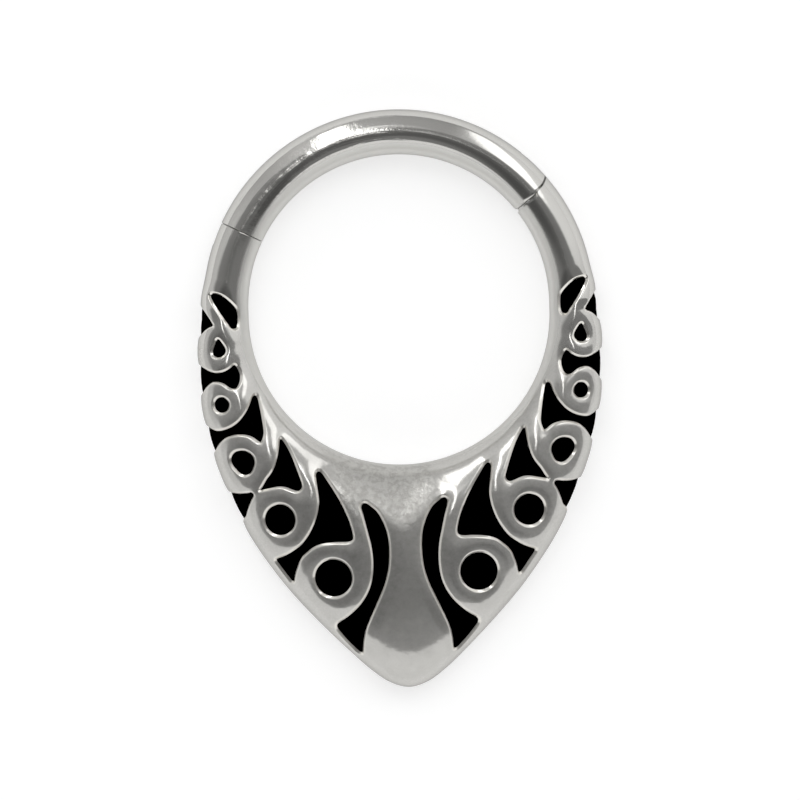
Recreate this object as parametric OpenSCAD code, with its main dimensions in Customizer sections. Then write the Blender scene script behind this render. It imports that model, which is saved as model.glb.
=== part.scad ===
// Hinged hoop for a piercing. A round wire segment closes the top of a cast steel
// shield, whose scroll cells hold black enamel. The hoop lies on its flat back.
// X runs across it, the shield's tip points along -Y and the domed front faces +Z.
// The origin is the middle of the hole, on the plane of the back. Millimetres.

/* [Hoop] */
// Width of the hole, across the hoop
hole_w = 8; // [7.9:0.05:8.1]
// Distance between the centres of the hole's two half circles
hole_stretch = 0.25; // [0.2:0.01:0.3]
// Diameter of the round wire
wire_d = 1.2; // [1.16:0.02:1.26]

/* [Shield] */
// How far the tip stands out beyond the wire's outer edge
tip_reach = 4.72; // [4.7:0.01:4.76]
// Thickness of the shield at its crest, on the centre line
crest_h = 1.85; // [1.7:0.05:2]
// Where the crest runs on the centre line, as a share of the width from the hole
crest_share = 0.34; // [0.3:0.01:0.4]
// How far the back's outer edge is rounded inwards
back_round = 0.7; // [0.6:0.05:0.8]

/* [Enamel cells] */
// Depth of the cells below the front of the metal
cell_depth = 0.36; // [0.3:0.01:0.42]
// Height over the back at which the cells that run over the edge end
cell_foot = 0.34; // [0.3:0.01:0.4]
// How far the enamel lies below the metal
enamel_drop = 0.04; // [0.03:0.01:0.06]
// Gap between the enamel and the metal
enamel_gap = 0.02; // [0.015:0.005:0.03]
// How much higher the cells sit on the right side than on the left, at the hole's middle
side_lift = 0.17; // [0.1:0.01:0.2]

/* [Hinge and catch] */
// Angle of the hinge seam, counter-clockwise from +X
hinge_angle = 38.4; // [37:0.1:40]
// Angle of the catch seam, counter-clockwise from +X
catch_angle = 153.7; // [152:0.1:155]
// How far the pin lies outside the middle of the wire
pin_out = 0.23; // [0.2:0.01:0.25]
// Diameter of the hinge pin
pin_d = 0.36; // [0.3:0.02:0.4]
// Length of the hinge pin, which ends inside the segment's two cheeks
pin_l = 0.86; // [0.8:0.02:0.9]
// Thickness of the body's hinge tongue
tongue_t = 0.36; // [0.3:0.02:0.4]
// Thickness of the segment's catch blade
blade_t = 0.22; // [0.2:0.02:0.26]
// Length of the catch blade
blade_l = 0.5; // [0.4:0.05:0.6]
// Running gap of the joint
joint_gap = 0.03; // [0.02:0.005:0.04]

/* [Hidden] */

STEEL = [0.72, 0.72, 0.71];
ENAMEL = [0.03, 0.03, 0.03];

wire_r = wire_d / 2;
hole_r = hole_w / 2;
// Radius of the wire's middle line
ring_r = hole_r + wire_r;
// Radius of the segment's rounded knuckle about the pin
knuckle_r = wire_r;
// Radius of the body's tongue about the pin, and how far its rim stays inside the wire
tongue_rim = 0.02;
tongue_r = wire_r - pin_out - tongue_rim;
// How far the tongue runs back into the body, and the blade back into the segment
tongue_root = 0.45;
blade_root = 0.4;
// Width of the blade across the wire, and the room past its nose in the slot
blade_w = 0.6;
nose_room = 0.1;
// How far the slot cuts below the catch seam, for the blade's flat sides
slot_lead = 0.2;
// Gap of each seam on the segment's side, in degrees, and on the body's side
seam_turn = 0.15;
seam_gap = 0.01;
// How far the body's outer lip wraps round the knuckle before it is hollowed, in degrees
lip_turn = 5;
// How far the wire arms reach into the shield, in degrees
arm_lap = 0.5;
// Room between the pin and its holes in the segment
pin_room = 0.01;
// Size of the cutting blocks, larger than the wire
block = 2;

// Stations along the left half of the shield, from the tip to the plain wire.
// Rows: [angle from the tip, share of the reach, share of the extra thickness]
STATIONS = [
    [0, 1, 1],
    [3, 0.972, 0.995],
    [6, 0.909, 0.985],
    [10, 0.814, 0.96],
    [15, 0.71, 0.92],
    [21, 0.606, 0.86],
    [30, 0.473, 0.75],
    [45, 0.295, 0.52],
    [60, 0.17, 0.3],
    [75, 0.08, 0.13],
    [90, 0.025, 0.03],
    [102, 0, 0]
];
// Last angle of the shield, where the plain wire takes over
shield_end = 98;
// How far the shield's end reaches into the wire, and how much thinner it is there
root_angle = 2;
root_step = 0.012;
// Height over the back at which the core under the cells begins, inside the metal
core_low = 0.12;
// Half of the flat strip that the narrowest back keeps between its two roundings
back_flat = 0.01;
// Sections along each half, and the power that crowds them towards the tip
steps = 18;
crowding = 1.5;
// Points on each quarter of a cross-section, from the hole's edge over the front to the back
QUARTERS = [6, 8, 3, 3];
// A bowed stretch shorter than the first length takes 2 straight pieces, one shorter
// than the second takes 3, and a longer one takes 5
BOW_LENGTHS = [0.3, 0.8];
// Corners of a round eye
eye_sides = 16;
// Limit to how far a sharp corner of an outline moves when the outline shrinks
corner_limit = 0.3;

// Cells of the left side. Rows: [x, y, bow], counter-clockwise from the cell's top,
// where bow is how far the stretch to the next row stands out of its chord.
LEAF_1 = [
    [-4.69, 0.49, 0.01], [-4.96, 0.565, 0.02], [-5.05, 0.5, 0.03],
    [-4.45, -0.36, 0.04], [-4.27, -0.36, 0.035], [-4.27, 0.13, 0.02]
];
EDGE_1 = [
    [-4.99, -0.28, 0], [-5.4, 0.34, 0], [-5.75, 0.34, 0], [-5.75, -0.7, 0],
    [-5.42, -0.62, -0.01], [-5.2, -0.38, -0.01], [-5.03, -0.31, 0.005]
];
EYE_1 = [
    [-4.84, -0.64, 0.01], [-4.88, -0.67, 0], [-5.01, -0.97, 0.025],
    [-4.95, -1.12, 0.02], [-4.76, -1.13, 0.02], [-4.61, -1, 0.02], [-4.7, -0.8, 0.01]
];
BAND = [
    [-4.4, -1.335, -0.19], [-5.33, -1.4, -0.02], [-5.6, -1.1, 0], [-5.75, -2.5, 0],
    [-5.45, -2.35, -0.02], [-5.3, -2.01, -0.13], [-4.7, -1.85, 0], [-4.56, -1.96, 0.03],
    [-4.34, -1.95, 0.03], [-4.235, -1.6, 0.01], [-4.35, -1.36, 0.015]
];
BAY = [
    [-3.81, -2.15, 0.015], [-3.93, -2.2, -0.045], [-4.34, -2.86, -0.065],
    [-5, -3.11, -0.02], [-5.28, -2.94, 0], [-5.6, -2.7, 0], [-5.6, -4, 0],
    [-5.2, -3.95, -0.02], [-5.03, -3.6, -0.09], [-4.45, -3.215, -0.015],
    [-4.1, -3.23, -0.02], [-3.86, -3.37, 0.01], [-3.77, -3.42, 0.025],
    [-3.665, -3.12, 0.01], [-3.765, -2.28, 0.01]
];
EYE_3 = [
    [-4.33, -3.64, 0.05], [-4.59, -3.8, 0.025], [-4.58, -4, 0.015],
    [-4.42, -4.2, 0.03], [-4.2, -4.3, 0.045], [-4, -4.1, 0.025],
    [-3.96, -3.88, 0.025], [-4.1, -3.7, 0.02]
];
LEAF_2 = [
    [-3.2, -3.31, 0.01], [-3.24, -3.34, -0.015], [-3.36, -3.9, -0.04],
    [-3.64, -4.4, 0], [-3.83, -4.71, 0], [-3.35, -4.615, -0.03],
    [-3, -4.695, -0.005], [-2.83, -4.76, 0.04], [-2.7, -4.6, 0.01],
    [-2.91, -3.89, 0.02], [-3.14, -3.39, 0.01]
];
EDGE_2 = [
    [-4.06, -4.78, 0.005], [-4.16, -4.775, -0.03], [-4.65, -4.77, 0], [-5.1, -4.6, 0],
    [-4.6, -5.75, 0], [-4.27, -5.4, -0.01], [-4.1, -4.97, 0], [-4.02, -4.86, 0.02]
];
LEAF_3 = [
    [-2.24, -4.19, 0.02], [-2.32, -4.31, 0], [-2.26, -5.04, -0.1], [-2.76, -6.17, -0.045],
    [-3.49, -6.57, 0.005], [-3.49, -6.61, 0], [-3.08, -7.18, 0.015], [-3.02, -7.15, -0.015],
    [-2.91, -6.78, -0.045], [-2.63, -6.39, -0.035], [-2.21, -6.17, -0.02],
    [-1.56, -6.14, 0], [-1.43, -6.12, 0.02], [-1.385, -6, 0.01], [-1.49, -5.56, 0.03],
    [-1.98, -4.54, 0], [-2.14, -4.26, 0.01]
];
CRESCENT = [
    [-1.06, -5.08, 0.025], [-1.15, -5.2, 0], [-0.93, -6.15, -0.04], [-0.9, -7.05, -0.055],
    [-1.22, -7.78, -0.04], [-1.86, -8.3, 0.005], [-1.92, -8.38, 0.01], [-1.89, -8.49, 0.02],
    [-1.33, -9.12, 0.01], [-1.25, -9.12, 0], [-1.22, -8.85, -0.015], [-1.1, -8.4, 0],
    [-0.7, -7.55, 0.02], [-0.48, -6.9, 0.025], [-0.45, -6.1, 0.03], [-0.65, -5.47, 0.03],
    [-0.89, -5.19, 0.02]
];
// Rows: [outline, height over the back below which the cell never reaches]
CELLS = [
    [LEAF_1, 0.62], [EDGE_1, cell_foot], [EYE_1, 0.7], [BAND, cell_foot],
    [BAY, cell_foot], [EYE_3, 0.7], [LEAF_2, 0.7], [EDGE_2, cell_foot],
    [LEAF_3, 0.6], [CRESCENT, 0.6]
];
// Round eyes of the left side. Rows: [x, y, radius]
EYES = [[-4.8, -2.41, 0.21], [-3.33, -5.51, 0.415], [-1.95, -7.095, 0.5]];
eye_foot = 0.7;
// Distance below the hole's middle over which the right side's lift would fade to nothing
lift_span = 13;

// A value read from column c of the stations, with a smooth curve between the rows
function slope(i, c) =
    i == 0 ? 0 :
    i == len(STATIONS) - 1 ? 0 :
    (STATIONS[i + 1][c] - STATIONS[i - 1][c]) / (STATIONS[i + 1][0] - STATIONS[i - 1][0]);
function row_at(a, i = 0) = i >= len(STATIONS) - 2 || a < STATIONS[i + 1][0] ? i : row_at(a, i + 1);
function station(a, c) =
    let (
        i = row_at(a),
        w = STATIONS[i + 1][0] - STATIONS[i][0],
        t = (a - STATIONS[i][0]) / w
    )
    (2 * t * t * t - 3 * t * t + 1) * STATIONS[i][c]
    + (t * t * t - 2 * t * t + t) * w * slope(i, c)
    + (3 * t * t - 2 * t * t * t) * STATIONS[i + 1][c]
    + (t * t * t - t * t) * w * slope(i + 1, c);

// Cross-section at angle a from the tip, inset all round by d: [distance from the
// half circle's centre, height] from the hole's edge over the front and along the back
function section(a, d) =
    let (
        near = hole_r + d,
        far = hole_r + wire_d + tip_reach * station(a, 1) - d,
        extra = station(a, 2),
        top = wire_d + (crest_h - wire_d) * extra - d,
        low = d < cell_depth / 2 ? d : core_low,
        half_w = (far - near) / 2 - back_flat,
        crest = near + (far - near) * (0.5 + (crest_share - 0.5) * extra),
        back_near = min(wire_r, half_w),
        back_far = min(wire_r + (back_round - wire_r) * extra, half_w),
        q = QUARTERS
    )
    concat(
        [for (i = [0:q[0] - 1]) let (t = 90 * i / q[0])
            [crest - (crest - near) * cos(t), wire_r + (top - wire_r) * sin(t)]],
        [for (i = [0:q[1] - 1]) let (t = 90 * i / q[1])
            [crest + (far - crest) * sin(t), wire_r + (top - wire_r) * cos(t)]],
        [for (i = [0:q[2]]) let (t = 90 * i / q[2])
            [far - back_far * (1 - cos(t)), wire_r - (wire_r - low) * sin(t)]],
        [for (i = [0:q[3] - 1]) let (t = 90 * i / q[3])
            [near + back_near * (1 - sin(t)), wire_r - (wire_r - low) * cos(t)]]
    );

// Places a section: side is -1 for the left half and 1 for the right one
function placed(a, side, d) =
    let (middle = a > 90 ? hole_stretch / 2 : -hole_stretch / 2)
    [for (p = section(a, d)) [side * p[0] * sin(a), middle - p[0] * cos(a), p[1]]];

// Angles of the sections of one half, closer together near the tip
function angles() = [for (i = [1:steps]) shield_end * pow(i / steps, crowding)];

// The shield as one lofted solid, inset by d. Its ends reach a little into the wire.
module shield(d = 0) {
    half = angles();
    root = d + root_step;
    rings = concat(
        [placed(shield_end + root_angle, -1, root)],
        [for (i = [steps - 1:-1:0]) placed(half[i], -1, i == steps - 1 ? root : d)],
        [placed(0, 1, d)],
        [for (i = [0:steps - 1]) placed(half[i], 1, i == steps - 1 ? root : d)],
        [placed(shield_end + root_angle, 1, root)]
    );
    n = len(rings[0]);
    last = len(rings) - 1;
    polyhedron(
        points = [for (ring = rings) each ring],
        faces = concat(
            [[for (j = [0:n - 1]) j]],
            [for (i = [0:last - 1], j = [0:n - 1]) let (k = (j + 1) % n)
                each [[i * n + j, (i + 1) * n + j, (i + 1) * n + k],
                    [i * n + j, (i + 1) * n + k, i * n + k]]],
            [[for (j = [n - 1:-1:0]) last * n + j]]
        ),
        convexity = 6
    );
}

// Outline of a cell from its rows, each stretch bowed out of its chord
function bowed(rows) = [
    for (i = [0:len(rows) - 1])
        let (
            p = [rows[i][0], rows[i][1]],
            next = rows[(i + 1) % len(rows)],
            along = [next[0], next[1]] - p,
            out = [along[1], -along[0]] / norm(along),
            n = rows[i][2] == 0 ? 1
                : norm(along) < BOW_LENGTHS[0] ? 2
                : norm(along) < BOW_LENGTHS[1] ? 3
                : 5
        )
        for (j = [0:n - 1]) let (t = j / n)
            p + t * along + 4 * t * (1 - t) * rows[i][2] * out
];
function eye(row) = [
    for (i = [0:eye_sides - 1]) let (t = 360 * i / eye_sides)
        [row[0] + row[2] * cos(t), row[1] + row[2] * sin(t)]
];

// The same outline moved inwards by d
function shrunk(points, d) = [
    for (i = [0:len(points) - 1])
        let (
            n = len(points),
            before = points[i] - points[(i + n - 1) % n],
            after = points[(i + 1) % n] - points[i],
            u = [-before[1], before[0]] / norm(before),
            v = [-after[1], after[0]] / norm(after)
        )
        points[i] + d * (u + v) / max(1 + u * v, corner_limit)
];

// A point of the left side's table, where it lies on the left (-1) or right (1) side
function seated(p, side) = side < 0 ? p : [-p[0], p[1] + side_lift * (1 + p[1] / lift_span)];

// All cells of one side as upright prisms, each shrunk by d
module cells(side, d = 0) {
    for (row = CELLS)
        cell_prism([for (p = shrunk(bowed(row[0]), d)) seated(p, side)], row[1] + d);
    for (row = EYES)
        cell_prism([for (p = shrunk(eye(row), d)) seated(p, side)], eye_foot + d);
}
module cell_prism(points, foot) {
    translate([0, 0, foot])
        linear_extrude(crest_h)
            polygon(points);
}

// Wire between two angles, counter-clockwise from +X, about the hole's upper centre
module wire(from, to) {
    translate([0, hole_stretch / 2, wire_r])
        rotate([0, 0, from])
            rotate_extrude(angle = to - from, $fn = 96)
                translate([ring_r, 0])
                    circle(wire_r, $fn = 48);
}

// Puts its children in a seam's own frame: X outward from the hole, Y counter-clockwise
// along the wire, origin in the middle of the wire
module at_seam(angle) {
    translate([0, hole_stretch / 2, wire_r])
        rotate([0, 0, angle])
            translate([ring_r, 0, 0])
                children();
}

// A disc or bore on the hinge pin's axis, in the seam's frame
module on_pin(r, h) {
    translate([pin_out, knuckle_r, 0])
        cylinder(r = r, h = h, center = true, $fn = 64);
}

// The cast body's wire arm on the hinge side, hollowed for the segment's knuckle
module hinge_arm() {
    difference() {
        wire(shield_end - 90 - arm_lap, hinge_angle + lip_turn);
        at_seam(hinge_angle) {
            translate([pin_out - block, -seam_gap, -block / 2])
                cube(block);
            on_pin(knuckle_r + joint_gap, block);
        }
    }
    at_seam(hinge_angle)
        difference() {
            union() {
                translate([pin_out - tongue_r, -tongue_root, -tongue_t / 2])
                    cube([2 * tongue_r, knuckle_r + tongue_root, tongue_t]);
                on_pin(tongue_r, tongue_t);
            }
            on_pin(pin_d / 2 + joint_gap, block);
        }
}

// The cast body's wire arm on the catch side, slotted for the segment's blade
module catch_arm() {
    difference() {
        wire(catch_angle, 270 - shield_end + arm_lap);
        at_seam(catch_angle)
            translate([-block / 2, -slot_lead, -blade_t / 2 - joint_gap])
                cube([block, slot_lead + blade_l + nose_room, blade_t + 2 * joint_gap]);
    }
}

module body() {
    color(STEEL) {
        difference() {
            shield();
            cells(-1);
            cells(1);
        }
        shield(cell_depth);
        hinge_arm();
        catch_arm();
    }
}

module segment() {
    color(STEEL)
        difference() {
            union() {
                wire(hinge_angle + seam_turn, catch_angle - seam_turn);
                at_seam(catch_angle)
                    blade();
            }
            at_seam(hinge_angle) {
                translate([-block / 2, -block, -tongue_t / 2 - joint_gap])
                    cube([block, block + knuckle_r + tongue_r + joint_gap, tongue_t + 2 * joint_gap]);
                difference() {
                    translate([pin_out, -block, -block / 2])
                        cube([block, block + knuckle_r, block]);
                    on_pin(knuckle_r, 2 * block);
                }
                on_pin(pin_d / 2 + pin_room, pin_l + 2 * pin_room);
            }
        }
}

// Flat blade with a round nose that enters the catch slot
module blade() {
    straight = blade_l - blade_w / 2;
    translate([-blade_w / 2, -blade_root, -blade_t / 2])
        cube([blade_w, blade_root + straight, blade_t]);
    translate([0, straight, 0])
        cylinder(d = blade_w, h = blade_t, center = true, $fn = 48);
}

module hinge_pin() {
    color(STEEL)
        at_seam(hinge_angle)
            on_pin(pin_d / 2, pin_l);
}

module enamel(side) {
    color(ENAMEL)
        difference() {
            intersection() {
                shield(enamel_drop);
                cells(side, enamel_gap);
            }
            shield(cell_depth - enamel_gap);
        }
}
module enamel_left() {
    enamel(-1);
}
module enamel_right() {
    enamel(1);
}

body();
segment();
hinge_pin();
enamel_left();
enamel_right();
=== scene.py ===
import math

import bmesh
import bpy
import numpy as np
from mathutils import Matrix, Vector, kdtree
from mathutils.geometry import delaunay_2d_cdt


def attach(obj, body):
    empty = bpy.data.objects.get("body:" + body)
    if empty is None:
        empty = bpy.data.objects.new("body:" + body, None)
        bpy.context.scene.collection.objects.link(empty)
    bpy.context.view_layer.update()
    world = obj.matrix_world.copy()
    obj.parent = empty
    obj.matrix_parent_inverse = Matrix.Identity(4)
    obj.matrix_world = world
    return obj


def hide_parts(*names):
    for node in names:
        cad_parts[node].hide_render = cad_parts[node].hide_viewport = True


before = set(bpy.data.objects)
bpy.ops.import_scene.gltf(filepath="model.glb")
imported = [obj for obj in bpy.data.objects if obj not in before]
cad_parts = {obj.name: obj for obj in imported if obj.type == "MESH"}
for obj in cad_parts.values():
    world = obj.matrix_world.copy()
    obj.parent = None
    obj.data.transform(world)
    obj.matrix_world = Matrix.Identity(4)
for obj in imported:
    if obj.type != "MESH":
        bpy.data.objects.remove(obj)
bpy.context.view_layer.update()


# The photograph's view: straight down on the hoop, which lies on its back. A long
# lens, because the photograph shows both of its sides alike.
VIEW_MIDDLE = (-0.000038, -0.00241)
VIEW_WIDTH = 0.021333
VIEW_TURN = math.radians(-1.6)
CAMERA_HEIGHT = 0.25
CAMERA_CLIP = 0.005
SENSOR = 36


def add_object(name, data):
    """Puts a new object in the scene."""
    made = bpy.data.objects.new(name, data)
    bpy.context.scene.collection.objects.link(made)
    return made


camera_data = bpy.data.cameras.new("camera")
camera_data.sensor_width = SENSOR
camera_data.lens = SENSOR * CAMERA_HEIGHT / VIEW_WIDTH
camera_data.clip_start = CAMERA_CLIP
camera = add_object("camera", camera_data)
camera.location = (*VIEW_MIDDLE, CAMERA_HEIGHT)
camera.rotation_euler = (0, 0, VIEW_TURN)
bpy.context.scene.camera = camera
bpy.context.scene.view_settings.view_transform = "Standard"


# The surroundings, as polished metal mirrors them: a white tent, darker on its far side,
# with a dark card over the hoop and two strip lamps that run down the far side.
# Brightness of the tent as a whole, and within it of the card, the lamps and a soft gleam
TENT = 1.3
CARD_CORE = 0.075
CARD_DARK = 0.19
CARD_TOP = 0.21
LEFT_LAMP = 2.5
RIGHT_LAMP = 0.9
GLEAM = 0.52
# Brightness of the tent's walls. Rows: [turn about the zenith in degrees, brightness]
WALLS = [
    [0, 0.7], [12, 0.72], [20, 0.8], [50, 0.8], [60, 0.6], [72, 0.34], [95, 0.42], [112, 0.5],
    [121, 0.6], [130, 0.46], [138, 0.44], [152, 0.56], [175, 0.6], [190, 0.62], [205, 0.76],
    [240, 0.8], [330, 0.82], [360, 0.7],
]
# All of them darken a little from the first of these angles off the zenith to the second
WALLS_LOW = (55, 85)
WALLS_LOW_SHARE = 0.93
# Ovals in the tent, in degrees off the zenith along X and Y. Columns: middle, half sizes, power
# of the rim, azimuth of the first half size, and the shares of the size where the rim's fade
# starts and ends
OVALS = {
    "card": ((8, -16), (68, 26), 3, 0, (0.97, 1.03)),
    "card_top": ((-14, 0), (52, 24), 2, 0, (0.75, 1.15)),
    "core_left": ((-24, -18), (34, 15), 2, 30, (0.3, 1.4)),
    "core_right": ((26, -22), (30, 9), 2, -30, (0.4, 1.3)),
    "core_middle": ((0, -17), (14, 9), 2, 0, (0.2, 1.3)),
    "gleam": ((-3.5, 27), (8.5, 11), 2, 0, (0.2, 1.1)),
    "right_lamp": ((24, 44), (31, 17.5), 2, 69, (0.88, 1.06)),
}
# Share of the card's lightness round its core that is left in the core's middle
CORE_MIDDLE = 0.5
# The left lamp widens from its tip along its azimuth, in degrees. Its sides and its two ends fade
LEFT_TIP = (-0.6, 4)
LEFT_AZIMUTH = math.radians(110.2)
LEFT_HALF = 1.5
LEFT_WIDENING = math.tan(math.radians(3.8))
LEFT_NEAR_SIDE = (-0.8, 0.8)
LEFT_FAR_SIDE = (-1, 0.8)
LEFT_START = (-3, 7)
LEFT_END = (85, 67)
# The right lamp starts beside a line along its azimuth and ends far out along X
RIGHT_AZIMUTH = math.radians(70.3)
RIGHT_START = (3.2, 6.4)
RIGHT_END = (44, 39)


class Sock:
    """A node's output socket. Sums, differences and products of these add Math nodes."""

    def __init__(self, tree, socket):
        self.tree = tree
        self.socket = socket

    def math(self, operation, *values):
        """A Math node's result for this socket and any further values."""
        inputs = {f"_{i + 1}": value for i, value in enumerate(values)}
        return add_node(self.tree, "ShaderNodeMath", {"operation": operation}, _0=self, **inputs)

    def __add__(self, other):
        return self.math("ADD", other)

    def __mul__(self, other):
        return self.math("MULTIPLY", other)

    def __sub__(self, other):
        return self.math("SUBTRACT", other)

    def __rsub__(self, other):
        return add_node(self.tree, "ShaderNodeMath", {"operation": "SUBTRACT"}, _0=other, _1=self)

    __radd__ = __add__
    __rmul__ = __mul__


def feed(tree, node, **inputs):
    """Links a node's sockets, named or numbered as in _0, or sets them to constants."""
    for name, value in inputs.items():
        socket = node.inputs[int(name[1:]) if name[0] == "_" else name.replace("_", " ")]
        if isinstance(value, Sock):
            tree.links.new(value.socket, socket)
        else:
            socket.default_value = value


def add_node(tree, kind, settings=None, out=0, **inputs):
    """Adds a node with its settings and feeds its sockets."""
    node = tree.nodes.new(kind)
    for name, value in (settings or {}).items():
        if name == "stops":
            elements = node.color_ramp.elements
            while len(elements) < len(value):
                elements.new(0.5)
            for element, (place, colour) in zip(elements, value):
                element.position = place
                element.color = colour
        else:
            setattr(node, name, value)
    feed(tree, node, **inputs)
    return Sock(tree, node.outputs[out])


def grey(value):
    return (value, value, value, 1)


def axes(tree, vector):
    """X, Y and Z of a vector."""
    return [add_node(tree, "ShaderNodeSeparateXYZ", out=i, _0=vector) for i in range(3)]


def step(value, low, high):
    """0 at low and 1 at high, smooth in between. Low may be the higher of the two."""
    return add_node(
        value.tree, "ShaderNodeMapRange", {"interpolation_type": "SMOOTHSTEP"},
        Value=value, From_Min=low, From_Max=high,
    )


def outside(name):
    """0 inside one of the ovals and 1 outside it."""
    middle, half, power, azimuth, fade = OVALS[name]
    t = math.radians(azimuth)
    across, up = along_x - middle[0], along_y - middle[1]
    first = across * (math.cos(t) / half[0]) + up * (math.sin(t) / half[0])
    second = up * (math.cos(t) / half[1]) - across * (math.sin(t) / half[1])
    total = first.math("ABSOLUTE").math("POWER", power) + second.math("ABSOLUTE").math("POWER", power)
    return step(total.math("POWER", 1 / power), *fade)


world = bpy.data.worlds.new("tent")
bpy.context.scene.world = world
world.use_nodes = True
tree = world.node_tree
toward_x, toward_y, toward_z = axes(tree, add_node(tree, "ShaderNodeTexCoord"))
# Degrees off the zenith, the turn about it from 0 to 1, and the degrees along X and along Y
off = toward_z.math("ARCCOSINE") * math.degrees(1)
turn = toward_y.math("ARCTAN2", toward_x) * (0.5 / math.pi)
turn = (turn + 1.0).math("FRACT")
angle = turn * (2 * math.pi)
along_x = off * angle.math("COSINE")
along_y = off * angle.math("SINE")

stops = [(degrees / 360, grey(brightness)) for degrees, brightness in WALLS]
walls = add_node(tree, "ShaderNodeValToRGB", {"stops": stops}, Fac=turn)
walls = walls * (1 - (1 - WALLS_LOW_SHARE) * step(off, *WALLS_LOW))
card_top = outside("card_top")
shade = walls * card_top + CARD_TOP * (1 - card_top)
core = outside("core_left") * outside("core_right")
core = core * (CORE_MIDDLE + (1 - CORE_MIDDLE) * outside("core_middle"))
card = outside("card")
shade = shade * card + (CARD_CORE + (CARD_DARK - CARD_CORE) * core) * (1 - card)
gleam = GLEAM * (1 - outside("gleam"))

tip_x, tip_y = along_x - LEFT_TIP[0], along_y - LEFT_TIP[1]
ahead = tip_x * math.cos(LEFT_AZIMUTH) + tip_y * math.sin(LEFT_AZIMUTH)
aside = tip_y * math.cos(LEFT_AZIMUTH) - tip_x * math.sin(LEFT_AZIMUTH)
half = LEFT_HALF + ahead * LEFT_WIDENING
left_lamp = step(half + aside, *LEFT_NEAR_SIDE) * step(half - aside, *LEFT_FAR_SIDE)
left_lamp = left_lamp * step(ahead, *LEFT_START) * step(off, *LEFT_END)
past_line = along_x * math.sin(RIGHT_AZIMUTH) - along_y * math.cos(RIGHT_AZIMUTH)
right_lamp = (1 - outside("right_lamp")) * step(past_line, *RIGHT_START) * step(along_x, *RIGHT_END)
lamps = LEFT_LAMP * left_lamp + RIGHT_LAMP * right_lamp
feed(tree, tree.nodes["Background"], Color=(shade + gleam + lamps) * TENT)


# Fill light: a wide soft panel over the hoop that whitens the floor. The metal doesn't mirror
# it, because the tent already holds all that shows on it.
FILL_SIZE = 0.5
FILL_PLACE = (-0.1, 0.1, 0.4)
FILL_POWER = 0.5

fill_data = bpy.data.lights.new("fill", "AREA")
fill_data.size = FILL_SIZE
fill_data.energy = FILL_POWER
fill = add_object("fill", fill_data)
fill.location = FILL_PLACE
fill.visible_glossy = False


# Floor: a plain sheet of white acrylic that the hoop lies on. It is softly lit from below, so
# the hoop's shadow on it stays faint.
FLOOR_SIZE = 0.3
FLOOR_DROP = 0.00001
FLOOR_WHITE = 0.6
FLOOR_ROUGHNESS = 0.9
FLOOR_GLOW = 0.52


def new_look(name):
    """A new material, its tree and its shader."""
    look = bpy.data.materials.new(name)
    look.use_nodes = True
    return look, look.node_tree, look.node_tree.nodes["Principled BSDF"]


sheet = bmesh.new()
bmesh.ops.create_grid(sheet, x_segments=2, y_segments=2, size=FLOOR_SIZE)
bmesh.ops.translate(sheet, verts=sheet.verts, vec=(0, 0, -FLOOR_DROP))
floor_mesh = bpy.data.meshes.new("floor")
sheet.to_mesh(floor_mesh)
sheet.free()
floor = add_object("floor", floor_mesh)
acrylic, tree, shader = new_look("acrylic")
feed(
    tree, shader, Base_Color=grey(FLOOR_WHITE), Roughness=FLOOR_ROUGHNESS, Specular_IOR_Level=0.0,
    Emission_Color=grey(1), Emission_Strength=FLOOR_GLOW,
)
floor_mesh.materials.append(acrylic)


# Shield and arms: the cast front, a domed plate with sunk cells for the enamel. It narrows into
# round wire up both sides of the hole, to the hinge and the catch. Polished steel, cast in one
# piece. Sizes are in millimetres, as is every piece's mesh until it is finished.
MM = 0.001
# The hole is a circle that is stretched along Y, and the wire runs round it
HOLE_R = 4
HOLE_STRETCH = 0.25
WIRE_D = 1.2
WIRE_R = WIRE_D / 2
RING_R = HOLE_R + WIRE_R
# The shield's tip beyond the wire, its crest's height and its place between the hole and the
# outer edge, the rounding of the back's edge, and the angle from the tip where it becomes wire
TIP_REACH = 4.72
CREST_H = 1.85
CREST_SHARE = 0.3
BACK_ROUND = 0.7
SHIELD_END = 102
# Rows: [angle from the tip, share of the reach, share of the extra thickness]
STATIONS = np.array([
    [0, 1, 1], [3, 0.972, 0.995], [6, 0.909, 0.985], [10, 0.814, 0.96], [15, 0.71, 0.92],
    [21, 0.606, 0.86], [30, 0.473, 0.75], [45, 0.295, 0.52], [60, 0.17, 0.3], [75, 0.08, 0.13],
    [90, 0.025, 0.03], [102, 0, 0],
])
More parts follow.
